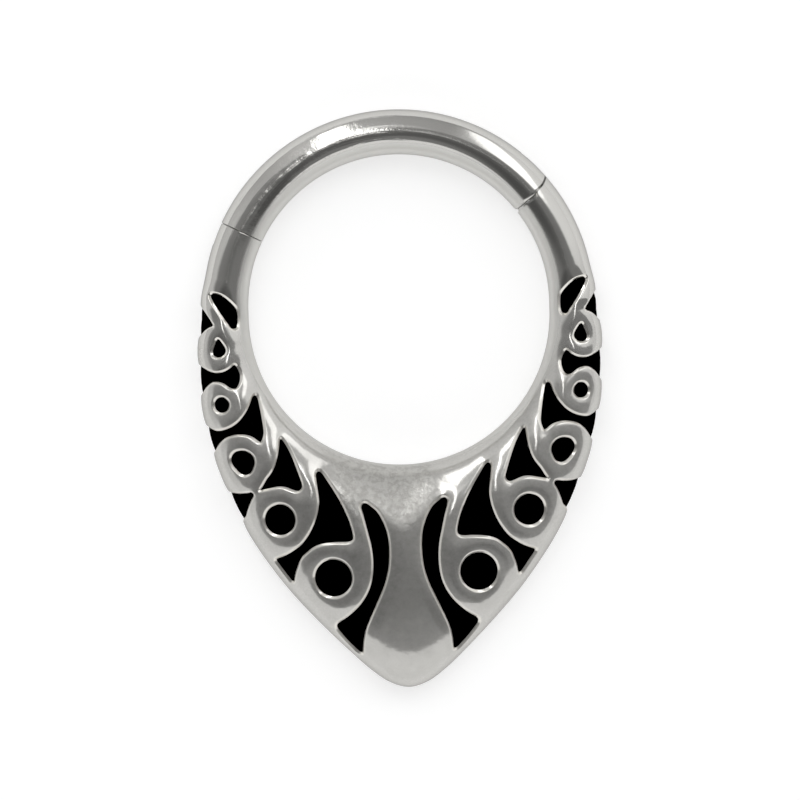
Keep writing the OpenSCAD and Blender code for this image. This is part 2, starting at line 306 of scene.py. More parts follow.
# Cells of the left side, anticlockwise. Rows: [x, y, how far the stretch to the next bows out]
CELLS = {
    "leaf_1": [
        [-4.69, 0.49, 0.01], [-4.96, 0.565, 0.02], [-5.05, 0.5, 0.03],
        [-4.45, -0.36, 0.04], [-4.27, -0.36, 0.035], [-4.27, 0.13, 0.02],
    ],
    "edge_1": [
        [-4.99, -0.28, 0], [-5.4, 0.34, 0], [-5.75, 0.34, 0], [-5.75, -0.7, 0],
        [-5.42, -0.62, -0.01], [-5.2, -0.38, -0.01], [-5.03, -0.31, 0.005],
    ],
    "eye_1": [
        [-4.84, -0.64, 0.01], [-4.88, -0.67, 0], [-5.01, -0.97, 0.025],
        [-4.95, -1.12, 0.02], [-4.76, -1.13, 0.02], [-4.61, -1, 0.02], [-4.7, -0.8, 0.01],
    ],
    "band": [
        [-4.4, -1.335, -0.19], [-5.33, -1.4, -0.02], [-5.6, -1.1, 0], [-5.75, -2.5, 0],
        [-5.45, -2.35, -0.02], [-5.3, -2.01, -0.13], [-4.7, -1.85, 0], [-4.56, -1.96, 0.03],
        [-4.34, -1.95, 0.03], [-4.235, -1.6, 0.01], [-4.35, -1.36, 0.015],
    ],
    "bay": [
        [-3.81, -2.15, 0.015], [-3.93, -2.2, -0.045], [-4.34, -2.86, -0.065],
        [-5, -3.11, -0.02], [-5.28, -2.94, 0], [-5.6, -2.7, 0], [-5.6, -4, 0],
        [-5.2, -3.95, -0.02], [-5.03, -3.6, -0.09], [-4.45, -3.215, -0.015],
        [-4.1, -3.23, -0.02], [-3.86, -3.37, 0.01], [-3.77, -3.42, 0.025],
        [-3.665, -3.12, 0.01], [-3.765, -2.28, 0.01],
    ],
    "eye_3": [
        [-4.33, -3.64, 0.05], [-4.59, -3.8, 0.025], [-4.58, -4, 0.015],
        [-4.42, -4.2, 0.03], [-4.2, -4.3, 0.045], [-4, -4.1, 0.025],
        [-3.96, -3.88, 0.025], [-4.1, -3.7, 0.02],
    ],
    "leaf_2": [
        [-3.2, -3.31, 0.01], [-3.24, -3.34, -0.015], [-3.36, -3.9, -0.04],
        [-3.64, -4.4, 0], [-3.83, -4.71, 0], [-3.35, -4.615, -0.03],
        [-3, -4.695, -0.005], [-2.83, -4.76, 0.04], [-2.7, -4.6, 0.01],
        [-2.91, -3.89, 0.02], [-3.14, -3.39, 0.01],
    ],
    "edge_2": [
        [-4.06, -4.78, 0.005], [-4.16, -4.775, -0.03], [-4.65, -4.77, 0], [-5.1, -4.6, 0],
        [-4.6, -5.75, 0], [-4.27, -5.4, -0.01], [-4.1, -4.97, 0], [-4.02, -4.86, 0.02],
    ],
    "leaf_3": [
        [-2.24, -4.19, 0.02], [-2.32, -4.31, 0], [-2.26, -5.04, -0.1], [-2.76, -6.17, -0.045],
        [-3.49, -6.57, 0.005], [-3.49, -6.61, 0], [-3.08, -7.18, 0.015], [-3.02, -7.15, -0.015],
        [-2.91, -6.78, -0.045], [-2.63, -6.39, -0.035], [-2.21, -6.17, -0.02],
        [-1.56, -6.14, 0], [-1.43, -6.12, 0.02], [-1.385, -6, 0.01], [-1.49, -5.56, 0.03],
        [-1.98, -4.54, 0], [-2.14, -4.26, 0.01],
    ],
    "crescent": [
        [-1.06, -5.08, 0.025], [-1.15, -5.2, 0], [-0.93, -6.15, -0.04], [-0.9, -7.05, -0.055],
        [-1.22, -7.78, -0.04], [-1.86, -8.3, 0.005], [-1.92, -8.38, 0.01], [-1.89, -8.49, 0.02],
        [-1.33, -9.12, 0.01], [-1.25, -9.12, 0], [-1.22, -8.85, -0.015], [-1.1, -8.4, 0],
        [-0.7, -7.55, 0.02], [-0.48, -6.9, 0.025], [-0.45, -6.1, 0.03], [-0.65, -5.47, 0.03],
        [-0.89, -5.19, 0.02],
    ],
}
# Round eyes of the left side. Rows: [x, y, radius]
EYES = [[-4.8, -2.41, 0.21], [-3.33, -5.51, 0.415], [-1.95, -7.095, 0.5]]
EYE_POINTS = 240
# Turn of an outline, in degrees, from which it keeps a sharp corner
CORNER_TURN = 58
# The right side's cells sit higher than the left side's, less so towards the tip
SIDE_LIFT = 0.17
LIFT_SPAN = 13
# Height at which the cells that run over the edge end, and the depth of all cells. An
# outline beyond the edge is first laid along it, a little way out
CELL_FOOT = 0.34
CELL_DEPTH = 0.34
PAST_EDGE = 0.01
# Spacing of points: along the outlines while they are drawn and when they are done, along the
# cells' rims where distances are taken, on the metal with its least gap, and in the cells
DRAWN_STEP = 0.01
OUTLINE_STEP = 0.035
RIM_STEP = 0.006
METAL_STEP = 0.055
METAL_GAP = METAL_STEP * 0.7
CELL_STEP = 0.1
# Room that these points leave beside an edge
METAL_ROOM = METAL_STEP * 0.6
CELL_ROOM = CELL_STEP * 0.5
# Passes that round an outline between its corners
ROUNDINGS = 4
# Distances from a cell at which the metal's rounded edge gets a row of points
EDGE_ROWS = [0.014, 0.044, 0.062, 0.1]
# Its points are dropped where another cell is nearer than this share of the distance. Their gap
# is a share of the gap between two rows, or the least gap
ROW_CLEAR = 0.85
ROW_SHARE = 0.6
ROW_GAP = 0.012
# Two edges' normals are added up and divided by their length, or by this if they nearly cancel
LEAST_SUM = 0.2
# Points round the wire, degrees between the points along the shield's edges, and degrees at
# its ends that stay free of points
RING_POINTS = 48
TURN_STEP = 0.6
END_ROOM = 0.4
# Bevel of a cell's edge: width, slope and the rounding of its upper side
BEVEL_W = 0.06
BEVEL_SLOPE = 0.78
BEVEL_ROUND = 0.012
BEVEL_H = BEVEL_SLOPE * (BEVEL_W - BEVEL_ROUND / 2)
# The soft shoulder that polishing leaves round each cell
SHOULDER_W = 0.38
SHOULDER_H = 0.036
# Distances over which the slope of the smooth surface and of the finished metal is taken
SMOOTH_REACH = 0.002
METAL_REACH = 0.004
# How far off a cell's rim its points take their normals
RIM_NUDGE = 0.006
# Vertices nearer than this are one, and heights that differ less are the same
MERGE = 0.0015
FLAT = 1e-6
# How near a point lies to the wire's round surface, or to a cut through it, if it is on it
ON_WIRE = 0.002
ON_CUT = 1e-4
# Two faces that meet at a steeper angle keep a sharp edge
SHARP = math.radians(38)
# The painted highlight along a cell's edge, a brighter colour in place of the light that its
# bevel catches. It ends this far past the bevel and fades out over the distance below
HIGHLIGHT_PAST = 0.014
HIGHLIGHT_FADE = 0.03


def station(a, column):
    """A column of the stations at the angles a, on a smooth curve between the rows."""
    turns, values = STATIONS[:, 0], STATIONS[:, column]
    slopes = np.zeros(len(turns))
    slopes[1:-1] = (values[2:] - values[:-2]) / (turns[2:] - turns[:-2])
    i = np.clip(np.searchsorted(turns, a, side="right") - 1, 0, len(turns) - 2)
    w = turns[i + 1] - turns[i]
    t = np.clip((a - turns[i]) / w, 0, 1)
    return (
        (2 * t**3 - 3 * t**2 + 1) * values[i] + (t**3 - 2 * t**2 + t) * w * slopes[i]
        + (3 * t**2 - 2 * t**3) * values[i + 1] + (t**3 - t**2) * w * slopes[i + 1]
    )


def section(a):
    """Sizes of the cross-section at the angles a: crest, inner and outer half width, dome height,
    and the rounding of the back's outer edge."""
    far = HOLE_R + WIRE_D + TIP_REACH * station(a, 1)
    extra = station(a, 2)
    crest = HOLE_R + (far - HOLE_R) * (0.5 + (CREST_SHARE - 0.5) * extra)
    dome = WIRE_R + (CREST_H - WIRE_D) * extra
    back = np.minimum(WIRE_R + (BACK_ROUND - WIRE_R) * extra, (far - HOLE_R) / 2)
    return crest, crest - HOLE_R, far - crest, dome, back


def quarter(r, across, down):
    """Angle along a quarter of an ellipse at which the way across plus the way down is r."""
    return np.arctan2(down, across) + np.arcsin(np.clip((r - down) / np.hypot(across, down), -1, 1))


def polar(flat):
    """Angle from the tip, distance and direction of points about the hole's nearer centre."""
    middle = np.clip(flat[:, 1], -HOLE_STRETCH / 2, HOLE_STRETCH / 2)
    arm = flat - np.column_stack([np.zeros(len(flat)), middle])
    reach = np.hypot(arm[:, 0], arm[:, 1])
    return np.degrees(np.arctan2(np.abs(arm[:, 0]), -arm[:, 1])), reach, arm / reach[:, None], middle


def lift(sheet_points):
    """Places points of the flat, unrolled sheet on the shield's smooth surface."""
    a, reach, out, middle = polar(sheet_points)
    crest, inner, outer, dome, back = section(a)
    r = reach - crest
    t = quarter(np.clip(r, 0, outer + dome), outer, dome)
    p = crest + outer * np.sin(t)
    z = WIRE_R + dome * np.cos(t)
    t = quarter(np.clip(r - outer - dome, 0, back + WIRE_R), WIRE_R, back)
    p -= back * (1 - np.cos(t))
    z -= WIRE_R * np.sin(t)
    t = quarter(np.clip(-r, 0, inner + dome), inner, dome)
    p -= inner * np.sin(t)
    z -= dome * (1 - np.cos(t))
    t = quarter(np.clip(-r - inner - dome, 0, 2 * WIRE_R), WIRE_R, WIRE_R)
    p += WIRE_R * (1 - np.cos(t))
    z -= WIRE_R * np.sin(t)
    return np.column_stack([out[:, 0] * p, out[:, 1] * p + middle, z])


def normals_of(surface, points, reach):
    """Outward normals of a surface over the sheet, from its slopes over a short reach."""
    across = surface(points + [reach, 0]) - surface(points - [reach, 0])
    along = surface(points + [0, reach]) - surface(points - [0, reach])
    normal = np.cross(across, along)
    return normal / np.linalg.norm(normal, axis=1)[:, None]


def facing(points):
    """Outward normals of the smooth surface, which near the sheet's edges are those inside it."""
    a, reach, out, middle = polar(points)
    low, high = sheet_edges(a)
    points = out * np.clip(reach, low + 2 * SMOOTH_REACH, high - 2 * SMOOTH_REACH)[:, None]
    points[:, 1] += middle
    return normals_of(lift, points, SMOOTH_REACH)


def along_edge(plan):
    """Where an outline runs beyond the shield's edge, makes it follow the edge instead."""
    a, p, out, middle = polar(plan)
    crest, inner, outer, dome, back = section(a)
    beyond = p > crest + outer
    if not beyond.any():
        return plan
    first = np.flatnonzero(beyond & ~np.roll(beyond, 1))[0]
    plan, beyond = np.roll(plan, -first, 0), np.roll(beyond, -first)
    count = int(beyond.sum())
    t = (np.arange(1, count + 1) / (count + 1))[:, None]
    plan[:count] = plan[-1] * (1 - t) + plan[count] * t
    a, p, out, middle = polar(plan[:count])
    crest, inner, outer, dome, back = section(a)
    plan[:count] = out * (crest + outer + PAST_EDGE)[:, None]
    plan[:count, 1] += middle
    return np.roll(plan, first, 0)


def unroll(plan):
    """Points seen from above, placed on the flat sheet. Those beyond the edge go to the cells' foot."""
    plan = along_edge(plan)
    a, p, out, middle = polar(plan)
    crest, inner, outer, dome, back = section(a)
    s = (p - crest) / np.where(p > crest, outer, inner)
    drop = dome * (1 - np.sqrt(1 - np.clip(s, -1, 1) ** 2))
    foot_turn = math.asin((WIRE_R - CELL_FOOT) / WIRE_R)
    foot = outer + dome + WIRE_R * math.sin(foot_turn) + back * (1 - math.cos(foot_turn))
    reach = crest + np.where(s > 1, foot, p - crest + np.sign(s) * drop)
    return out * reach[:, None] + np.column_stack([np.zeros(len(plan)), middle])


def stretch_points(rows):
    """Fine points along a table's outline, and whether each one is a sharp corner."""
    count = len(rows)
    starts = [np.array(row[:2], float) for row in rows]
    points, corners, heads, tails = [], [], [], []
    for i, (_, _, bow) in enumerate(rows):
        along = starts[(i + 1) % count] - starts[i]
        out = np.array([along[1], -along[0]]) / np.hypot(*along)
        corners.append(len(points))
        n = max(2, int(np.hypot(*along) / DRAWN_STEP))
        for j in range(n):
            t = j / n
            points.append(starts[i] + t * along + 4 * t * (1 - t) * bow * out)
        heads.append(along + 4 * bow * out)
        tails.append(along - 4 * bow * out)
    sharp = np.zeros(len(points), bool)
    for i, corner in enumerate(corners):
        before, after = tails[i - 1], heads[i]
        cosine = before @ after / np.hypot(*before) / np.hypot(*after)
        sharp[corner] = cosine < math.cos(math.radians(CORNER_TURN))
    return np.array(points), sharp


def outline(points, sharp):
    """The outline on the flat sheet, with even points between its corners, and rounded there."""
    points = unroll(points)
    marks = list(np.flatnonzero(sharp)) or [0]
    result, pinned = [], []
    for i, start in enumerate(marks):
        end = marks[(i + 1) % len(marks)]
        if end <= start:
            end += len(points)
        run = points[np.arange(start, end + 1) % len(points)]
        length = np.concatenate([[0], np.cumsum(np.hypot(*np.diff(run, axis=0).T))])
        n = max(2, int(round(length[-1] / OUTLINE_STEP)))
        at = np.linspace(0, length[-1], n + 1)[:-1]
        result.append(np.column_stack([np.interp(at, length, column) for column in run.T]))
        pinned += [bool(sharp[start])] + [False] * (n - 1)
    result = np.concatenate(result)
    loose = ~np.array(pinned)[:, None]
    for _ in range(ROUNDINGS):
        middle = (np.roll(result, 1, 0) + np.roll(result, -1, 0)) / 2
        result = np.where(loose, (result + middle) / 2, result)
    return result


def mirrored(points):
    """The right side's points for the left side's."""
    return np.column_stack([-points[:, 0], points[:, 1] + SIDE_LIFT * (1 + points[:, 1] / LIFT_SPAN)])


def all_outlines():
    """Outlines of every cell on the flat sheet, left side first, all anticlockwise."""
    left = [stretch_points(rows) for rows in CELLS.values()]
    t = np.linspace(0, 2 * math.pi, EYE_POINTS, endpoint=False)
    for x, y, r in EYES:
        circle = np.column_stack([x + r * np.cos(t), y + r * np.sin(t)])
        left.append((circle, np.zeros(EYE_POINTS, bool)))
    outlines = [outline(points, sharp) for points, sharp in left]
    outlines += [outline(mirrored(points)[::-1], sharp[::-1]) for points, sharp in left]
    return outlines


def outward(loop):
    """Unit normals of an anticlockwise outline, pointing out of the cell."""
    along = np.roll(loop, -1, 0) - np.roll(loop, 1, 0)
    along /= np.hypot(*along.T)[:, None]
    return np.column_stack([along[:, 1], -along[:, 0]])


def near_tree(points):
    """Finds the nearest of the points, flat or not."""
    tree = kdtree.KDTree(len(points))
    for i, p in enumerate(points):
        tree.insert((*p, 0) if len(p) == 2 else p, i)
    tree.balance()
    return tree


def inside(points, loop):
    """Which points lie inside a closed outline."""
    hit = np.zeros(len(points), bool)
    near = np.flatnonzero(np.all((points > loop.min(0)) & (points < loop.max(0)), axis=1))
    x, y = points[near, 0], points[near, 1]
    odd = np.zeros(len(near), bool)
    for (x1, y1), (x2, y2) in zip(loop, np.roll(loop, -1, 0)):
        if y1 != y2:
            odd ^= ((y1 > y) != (y2 > y)) & (x < (x2 - x1) * (y - y1) / (y2 - y1) + x1)
    hit[near] = odd
    return hit


def inside_any(points, loops):
    return np.any([inside(points, loop) for loop in loops], axis=0)


def hex_points(low, high, pitch):
    """An even filling of a box with points."""
    points = []
    for i, y in enumerate(np.arange(low[1], high[1], pitch * math.sqrt(3) / 2)):
        xs = np.arange(low[0] + (i % 2) * pitch / 2, high[0], pitch)
        points.append(np.column_stack([xs, np.full(len(xs), y)]))
    return np.concatenate(points)


def sheet_edges(a):
    """Reach of the flat sheet's inner and outer edge at the angles a."""
    crest, inner, outer, dome, back = section(a)
    return crest - inner - dome - 2 * WIRE_R, crest + outer + dome + back + WIRE_R


def at_turn(a, reach):
    """A point of the flat sheet at a signed angle from the tip and a reach."""
    t = np.radians(np.abs(a))
    middle = np.where(np.abs(a) > 90, HOLE_STRETCH / 2, -HOLE_STRETCH / 2)
    return np.column_stack([np.sign(a) * np.sin(t) * reach, middle - np.cos(t) * reach])


def bucket(p, size):
    """The square of a grid that a point lies in."""
    return math.floor(p[0] / size), math.floor(p[1] / size)


def spaced(points, taken, gap):
    """The points that keep a gap from each other and from those taken, which they join."""
    kept = []
    for p in points:
        column, row = bucket(p, gap)
        near = [taken.get((column + i, row + j), ()) for i in (-1, 0, 1) for j in (-1, 0, 1)]
        if all((q[0] - p[0]) ** 2 + (q[1] - p[1]) ** 2 >= gap * gap for group in near for q in group):
            kept.append(p)
            taken.setdefault((column, row), []).append(p)
    return kept


LOOPS = all_outlines()
SIDE_CELLS = len(LOOPS) // 2


def border():
    """The sheet's closed border, and its inner and outer edge point by point."""
    top = np.append(np.arange(SHIELD_END, 90 + TURN_STEP / 2, -TURN_STEP), 90)
    low = np.arange(90 - TURN_STEP, TURN_STEP / 2, -TURN_STEP)
    turns = np.concatenate([-top, -low, [0], low[::-1], top[::-1]])
    left, right = np.flatnonzero(np.abs(turns) == 90)
    rise = np.array([[0, HOLE_STRETCH]])
    edges = []
    for reach in sheet_edges(np.abs(turns)):
        edge = at_turn(turns, reach)
        edges.append(np.concatenate([
            edge[:left], edge[left:left + 1] + rise, edge[left:right + 1],
            edge[right:right + 1] + rise, edge[right + 1:],
        ]))
    t = np.linspace(0, math.pi / 2, RING_POINTS // 4 + 1)[1:]
    fall = WIRE_R * (np.sin(t) + 1 - np.cos(t))
    half = np.concatenate([fall, WIRE_D + fall])
    reach = RING_R + np.concatenate([-half[::-1], [0], half])
    ends = [at_turn(np.full(len(reach), side * SHIELD_END), reach) for side in (-1.0, 1.0)]
    loop = np.concatenate([ends[0], edges[1][1:-1], ends[1][::-1], edges[0][1:-1][::-1]])
    return loop, edges[0], edges[1]


def fill_points(loops, edge):
    """Points between the outlines: rows along the cells' edges, then an even filling."""
    rims = near_tree(np.concatenate(loops))
    points = []
    rows_taken = {}
    for before, d in zip([0] + EDGE_ROWS, EDGE_ROWS):
        row = [p for loop in loops for p in loop + outward(loop) * d]
        row = [p for p in row if rims.find((*p, 0))[2] > ROW_CLEAR * d]
        points += spaced(row, rows_taken, max(ROW_SHARE * (d - before), ROW_GAP))
    taken = {}
    spaced(edge, taken, METAL_GAP)
    for p in points:
        taken.setdefault(bucket(p, METAL_GAP), []).append(p)
    low, high = edge.min(0), edge.max(0)
    even = hex_points(low, high, METAL_STEP)
    a, reach, _, _ = polar(even)
    inner, outer = sheet_edges(np.minimum(a, SHIELD_END))
    in_shield = (reach > inner + METAL_ROOM) & (reach < outer - METAL_ROOM) & (a < SHIELD_END - END_ROOM)
    even = even[in_shield]
    clear = [p for p in even[~inside_any(even, loops)] if rims.find((*p, 0))[2] > EDGE_ROWS[-1]]
    points += spaced(clear, taken, METAL_GAP)
    coarse = hex_points(low, high, CELL_STEP)
    coarse = coarse[inside_any(coarse, loops)]
    points += [p for p in coarse if rims.find((*p, 0))[2] > CELL_ROOM]
    return np.array(points)


def triangulate(loops, edge):
    """Triangles of the flat sheet, with the cell that each one lies in (-1 on the metal)."""
    fixed = [edge] + loops
    lines = []
    start = 0
    for loop in fixed:
        run = list(range(start, start + len(loop)))
        lines += list(zip(run, run[1:] + run[:1]))
        start += len(loop)
    points = np.concatenate(fixed + [fill_points(loops, edge)])
    result = delaunay_2d_cdt([Vector(p) for p in points], lines, [list(range(len(edge)))], 1, 1e-7)
    verts = np.array([tuple(v) for v in result[0]])
    faces = np.array(result[2])
    middles = verts[faces].mean(1)
    cell = np.full(len(faces), -1)
    for k, loop in enumerate(loops):
        cell[inside(middles, loop)] = k
    return verts, faces, cell


BORDER, INNER_EDGE, OUTER_EDGE = border()
SHEET, SHEET_FACES, SHEET_CELL = triangulate(LOOPS, BORDER)

# Edges between the metal and a cell, and the points on them
edge_faces = {}
for f, face in enumerate(SHEET_FACES):
    for a, b in zip(face, np.roll(face, -1)):
        edge_faces.setdefault((min(a, b), max(a, b)), []).append((f, a, b))
RIM_EDGES = []
RIM_CELL = []
for uses in edge_faces.values():
    if len(uses) == 2 and (SHEET_CELL[uses[0][0]] < 0) != (SHEET_CELL[uses[1][0]] < 0):
        f, a, b = uses[0] if SHEET_CELL[uses[0][0]] < 0 else uses[1]
        RIM_EDGES.append((a, b))
        RIM_CELL.append(max(SHEET_CELL[uses[0][0]], SHEET_CELL[uses[1][0]]))
RIM = np.zeros(len(SHEET), bool)
RIM[np.array(RIM_EDGES).ravel()] = True
# Away from the cells, for each point on a rim
RIM_OUT = np.zeros((len(SHEET), 2))
for a, b in RIM_EDGES:
    along = SHEET[b] - SHEET[a]
    out = np.array([-along[1], along[0]]) / np.hypot(*along)
    RIM_OUT[a] += out
    RIM_OUT[b] += out
RIM_OUT[RIM] /= np.maximum(np.hypot(*RIM_OUT[RIM].T), LEAST_SUM)[:, None]


def rim_samples(edges):
    """Close points along edges of the sheet, on the smooth surface."""
    samples = []
    for a, b in edges:
        n = max(1, int(np.hypot(*(SHEET[b] - SHEET[a])) / RIM_STEP))
        t = (np.arange(n) / n)[:, None]
        samples.append(SHEET[a] * (1 - t) + SHEET[b] * t)
    return lift(np.concatenate(samples))


RIM_TREE = near_tree(rim_samples(RIM_EDGES))
# The same for each cell by itself, with the box that it lies in
CELL_TREES = []
for k in range(len(LOOPS)):
    samples = rim_samples([edge for edge, cell in zip(RIM_EDGES, RIM_CELL) if cell == k])
    CELL_TREES.append((near_tree(samples), samples.min(0), samples.max(0)))


def gap_to_rim(points):
    """Distance to the nearest cell, for points of the smooth surface."""
    return np.array([RIM_TREE.find(p)[2] for p in points])


def shoulder(points):
    """How far polishing has taken the smooth surface down near the cells. Every near cell adds."""
    total = np.zeros(len(points))
    for tree, low, high in CELL_TREES:
        near = np.flatnonzero(np.all((points > low - SHOULDER_W) & (points < high + SHOULDER_W), axis=1))
        gaps = np.array([tree.find(points[i])[2] for i in near])
        total[near] += np.clip(1 - gaps / SHOULDER_W, 0, 1) ** 2
    return SHOULDER_H * total


def edge_bevel(d):
    """How deep the bevel of a cell's edge has got, at a distance from the cell."""
    t = np.clip(BEVEL_W - d, 0, BEVEL_W)
    return BEVEL_SLOPE * np.where(t < BEVEL_ROUND, t**2 / (2 * BEVEL_ROUND), t - BEVEL_ROUND / 2)


def metal(points):
    """Points of the sheet on the polished metal."""
    smooth = lift(points)
    return smooth - facing(points) * (edge_bevel(gap_to_rim(smooth)) + shoulder(smooth))[:, None]


def to_bmesh(coords, faces):
    """A bmesh of points and faces."""
    mesh = bpy.data.meshes.new("work")
    mesh.from_pydata(coords.tolist(), [], faces)
    bm = bmesh.new()
    bm.from_mesh(mesh)
    bpy.data.meshes.remove(mesh)
    return bm


def shield_front():
    """The front with its open cells. Its polished points carry their normals, in the layer
    polish, and how near a cell they lie, in the layer rim, which sets the painted highlight
    along the cells' edges."""
    metal_faces, cell_faces = SHEET_FACES[SHEET_CELL < 0], SHEET_FACES[SHEET_CELL >= 0]
    top, bottom = np.unique(metal_faces), np.unique(cell_faces)
    top_index, bottom_index = np.full((2, len(SHEET)), -1)
    top_index[top] = np.arange(len(top))
    bottom_index[bottom] = len(top) + np.arange(len(bottom))
    sunk = lift(SHEET[bottom]) - facing(SHEET[bottom]) * CELL_DEPTH
    faces = [tuple(top_index[face]) for face in metal_faces]
    faces += [tuple(bottom_index[face]) for face in cell_faces]
    faces += [(top_index[b], top_index[a], bottom_index[a], bottom_index[b]) for a, b in RIM_EDGES]
    bm = to_bmesh(np.concatenate([metal(SHEET[top]), sunk]), faces)
    normals = normals_of(metal, SHEET[top] + RIM_OUT[top] * RIM_NUDGE, METAL_REACH)
    # Strength of the painted highlight: full on the bevel, fading out past it
    near = np.clip((BEVEL_W + HIGHLIGHT_PAST - gap_to_rim(lift(SHEET[top]))) / HIGHLIGHT_FADE, 0, 1)
    polish = bm.verts.layers.float_vector.new("polish")
    rim = bm.verts.layers.float.new("rim")
    bm.verts.ensure_lookup_table()
    for i in range(len(top)):
        bm.verts[i][polish] = normals[i]
        bm.verts[i][rim] = near[i]
    front = bm.faces.layers.int.new("front")
    bm.faces.ensure_lookup_table()
    for i in range(len(metal_faces)):
        bm.faces[i][front] = 1
    for a, b in RIM_EDGES:
        bm.edges.get((bm.verts[top_index[a]], bm.verts[top_index[b]])).smooth = False
    return bm


def add_back(bm):
    """The flat back, between the two edges of the front."""
    inner, outer = ([bm.verts.new(p) for p in lift(edge)] for edge in (INNER_EDGE, OUTER_EDGE))
    for k in range(len(inner) - 1):
        bm.faces.new([inner[k], inner[k + 1], outer[k + 1], outer[k]])
    bmesh.ops.remove_doubles(bm, verts=bm.verts, dist=MERGE)


body_mesh = shield_front()
add_back(body_mesh)


# The wire arms carry on from the shield's ends. The right one ends in the hinge and the left
# one in the catch. Places along the wire are degrees about the hole's upper centre.
ARM_START = SHIELD_END - 90
HINGE_ANGLE = 38.4
CATCH_ANGLE = 153.7
CENTRE = Vector((0, HOLE_STRETCH / 2, 0))
WIRE_STEP = 0.75
# Degrees before a seam at which the wire's even bend stops and the shape of its end starts
BODY_HINGE_TURN = 3.5
SEGMENT_HINGE_TURN = 2.5
BODY_CATCH_TURN = 0.6
SEGMENT_CATCH_TURN = 0.8
# Hinge: the pin lies outside the wire's middle. The tongue on it is trimmed to a wire that is
# finer by the inset, starts some degrees before the seam and runs on for some more
PIN_OUT = 0.23
PIN_D = 0.36
TONGUE_T = 0.2
TONGUE_R = WIRE_R - PIN_OUT
TONGUE_ROOT = 0.45
TONGUE_INSET = 0.003
TONGUE_BACK_TURN = 8
TONGUE_TURN = 24
JOINT_GAP = 0.03
# The hole's half of the hinge's seam lies nearer to the body, between these distances across
# the wire
STEP_FROM = 0.04
STEP_TO = 0.19
STEP_L = 0.1
# Width of that seam, what it has more on the hole's side, and what it has more at its middle,
# with the place and the width of that
SEAM_GAP = 0.045
SEAM_GAP_STEPPED = 0.025
SEAM_GAP_MIDDLE = 0.02
SEAM_MIDDLE = -0.04
SEAM_MIDDLE_W = 0.15
# Bevel of the segment's end there, with what it is longer and deeper on the hole's side, and
# the bevel of the body's end, with what it is smaller there
LIP = 0.016
LIP_LONGER = 0.08
LIP_DEEPER = 0.05
BODY_LIP = 0.02
BODY_LIP_LESS = 0.014
# Under the seam a neck of the body nearly touches the segment. It lies just under the
# surface on the hole's side, up to the first of two places, and deeper on top from the second
NECK_RIM = 0.05
NECK_IN = 0.2
NECK_RIM_TO = -0.5
NECK_IN_FROM = -0.1
NECK_GAP = 0.008
# Catch: a flat blade in a slot. Bevels: [length, depth]. The body's is longer at the top
BLADE_T = 0.22
BLADE_W = 0.6
BLADE_L = 0.5
BLADE_ROOT = 0.4
NOSE_ROOM = 0.1
CATCH_BEVEL = [0.014, 0.06]
CATCH_TOP_BEVEL = [0.035, 0.02]
CATCH_TOP_FROM = -0.2
CATCH_TOP_TO = 0.05
# Rows: share of a bevel's length before the face, share of its depth at that place
BEVEL_STEPS = [(1.6, 0), (1, 0), (0.62, 0.08), (0.29, 0.29), (0.08, 0.62), (0, 1)]
# Size of a cutting tool where it only has to reach out of the wire, and how far the catch's
# slot and the knuckle's fork reach back past their seams
REACH_OUT = 2
SLOT_BACK = 0.2
FORK_BACK = 0.5
# A bevel that makes a half-round end stays this share of it wide, so that its sides don't meet
HALF_ROUND = 0.999
ROUND_SEGMENTS = 12


def seam_frame(angle):
    """Axes of a cut through the wire: X away from the hole, Y along the wire, Z up."""
    return (
        Matrix.Translation(CENTRE) @ Matrix.Rotation(math.radians(angle), 4, "Z")
        @ Matrix.Translation((RING_R, 0, WIRE_R))
    )


def wire_ring(bm, angle, r=WIRE_R):
    """A circle of the wire's size at an angle, as edges."""
    made = bmesh.ops.create_circle(bm, segments=RING_POINTS, radius=r)
    stand = seam_frame(angle) @ Matrix.Rotation(math.pi / 2, 4, "X")
    bmesh.ops.transform(bm, matrix=stand, verts=made["verts"])
    return list({e for v in made["verts"] for e in v.link_edges})


def run_wire(bm, edges, turn):
    """Draws the ring along the wire's bend by an angle, and returns the last ring's edges."""
    steps = max(2, int(abs(turn) / WIRE_STEP))
    verts = list({v for e in edges for v in e.verts})
    made = bmesh.ops.spin(
        bm, geom=edges + verts, cent=CENTRE, axis=(0, 0, 1), angle=math.radians(turn), steps=steps,
        use_duplicate=False,
    )
    return [e for e in made["geom_last"] if isinstance(e, bmesh.types.BMEdge)]


def bevelled(length, depth):
    """Profile of a bevelled end: distances before the face, and under the wire's surface there."""
    return [(share * length, inset * depth) for share, inset in BEVEL_STEPS]


def end_wire(bm, edges, angle, way, shape, profile):
    """Finishes a wire's end with a face at an angle. way is 1 where the wire comes from lower
    angles. shape(x) is how far the face stands out along the wire, and profile(x) the way to it,
    at a distance x outside the wire's middle."""
    for k in range(len(profile(0))):
        made = bmesh.ops.extrude_edge_only(bm, edges=edges)["geom"]
        edges = [g for g in made if isinstance(g, bmesh.types.BMEdge)]
        for v in (g for g in made if isinstance(g, bmesh.types.BMVert)):
            local = v.co - CENTRE
            round_at = math.atan2(local.z - WIRE_R, math.hypot(local.x, local.y) - RING_R)
            before, under = profile(WIRE_R * math.cos(round_at))[k]
            r = WIRE_R - under
            x, z = r * math.cos(round_at), r * math.sin(round_at)
            turn = math.radians(angle) + (shape(x) - way * before) / RING_R
            reach = RING_R + x
            v.co = CENTRE + Vector((reach * math.cos(turn), reach * math.sin(turn), WIRE_R + z))
    across = {v: math.hypot(*(v.co - CENTRE).xy) for e in edges for v in e.verts}
    upper = sorted((v for v in across if v.co.z > WIRE_R - FLAT), key=across.get)
    lower = sorted((v for v in across if v.co.z <= WIRE_R - FLAT), key=across.get)
    lower = [upper[0]] + lower + [upper[-1]]
    for k in range(len(upper) - 1):
        corners = [upper[k], upper[k + 1], lower[k + 1], lower[k]]
        bm.faces.new(list(dict.fromkeys(corners)))


